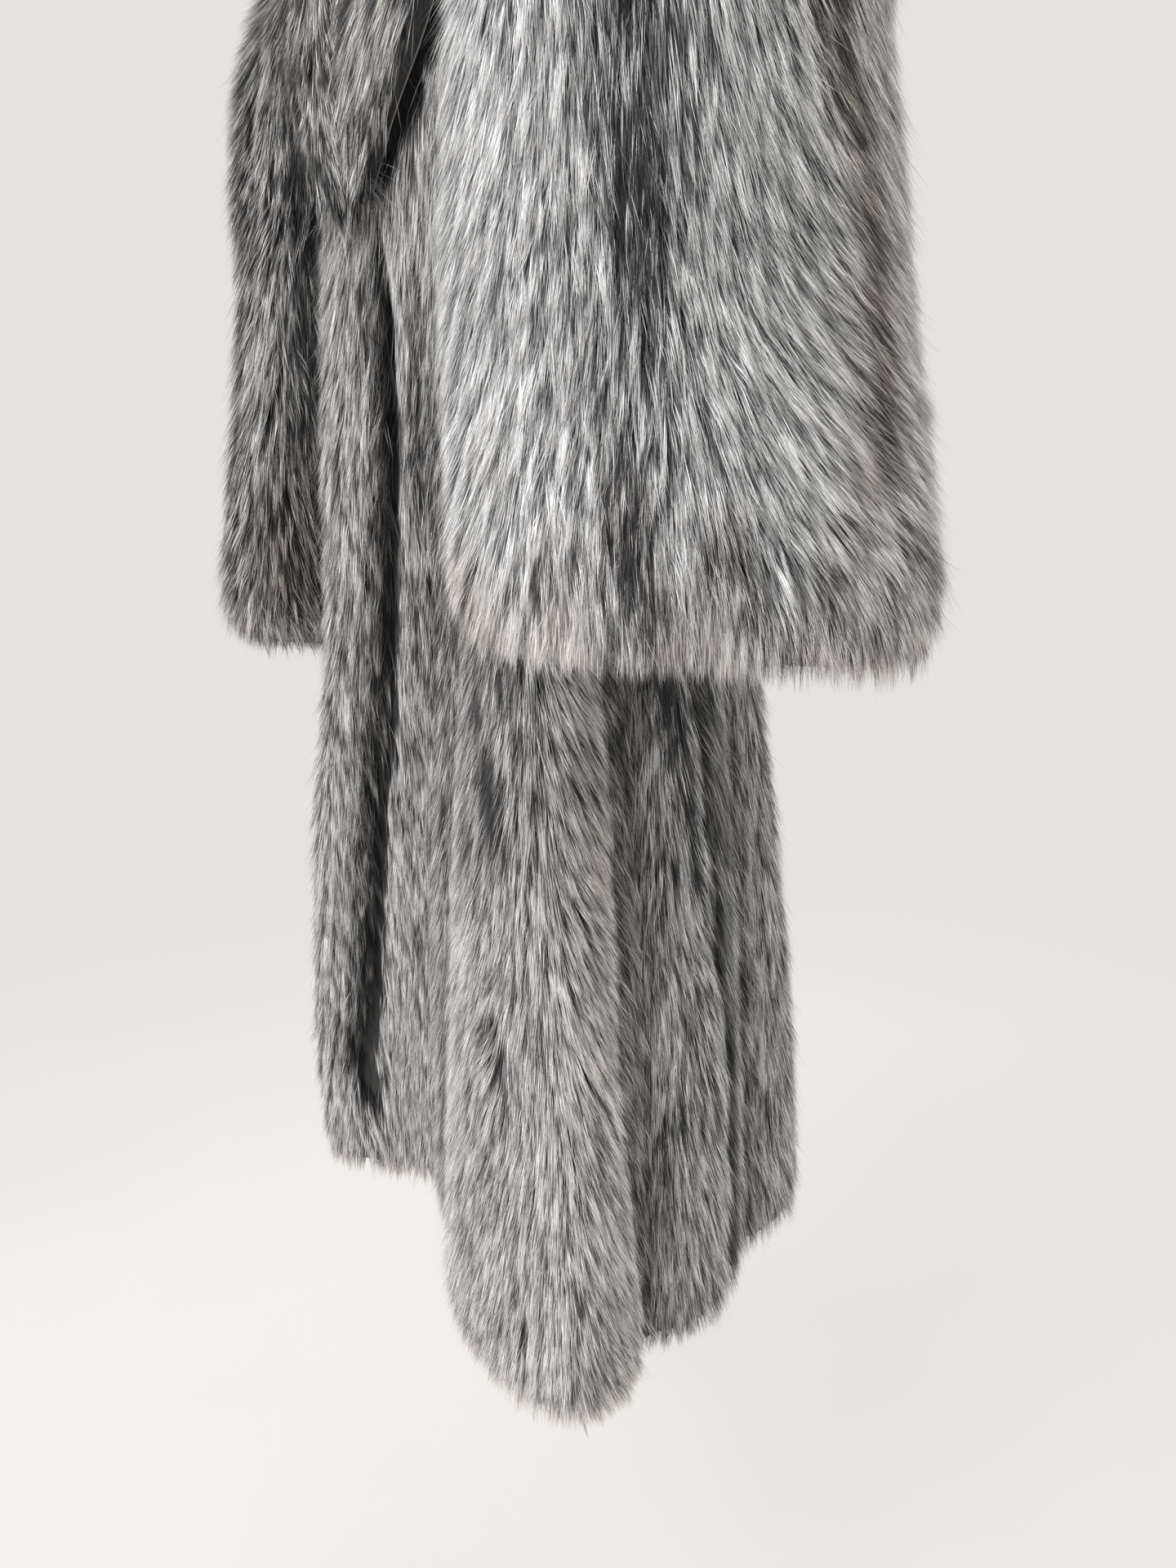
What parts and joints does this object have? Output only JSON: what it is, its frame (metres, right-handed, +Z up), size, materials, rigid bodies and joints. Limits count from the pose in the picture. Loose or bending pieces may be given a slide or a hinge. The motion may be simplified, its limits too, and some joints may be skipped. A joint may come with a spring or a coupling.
{
  "type": "fur coat on a hanger",
  "caption": "Full-length long-haired fur coat with a shawl collar, wide open sleeves and a flared, folded hem, hanging from the wire hook of a plain wooden hanger.",
  "frame": {"origin": "the point inside the top of the hook that rests on a rail", "axes": "+Z up, the coat's front faces -Y, and the wearer's left is +X"},
  "size_m": [0.7758, 0.5021, 1.4443],
  "materials": {
    "body_fur": "long grey fur, dark under pale tips",
    "sleeve_fur": "long silver-grey fur, dark under pale tips",
    "collar_fur": "long dark grey fur with pale locks",
    "lining": "satin-woven lining",
    "hanger_wood": "varnished",
    "hook_wire": "polished"
  },
  "bodies": {
    "root": {"back": "body_fur", "right_front": "body_fur", "left_front": "body_fur", "right_top_sleeve": "sleeve_fur", "right_under_sleeve": "sleeve_fur", "left_top_sleeve": "sleeve_fur", "left_under_sleeve": "sleeve_fur", "collar": "collar_fur", "hanger_bar": "hanger_wood", "hanger_hook": "hook_wire"}
  },
  "joints": []
}
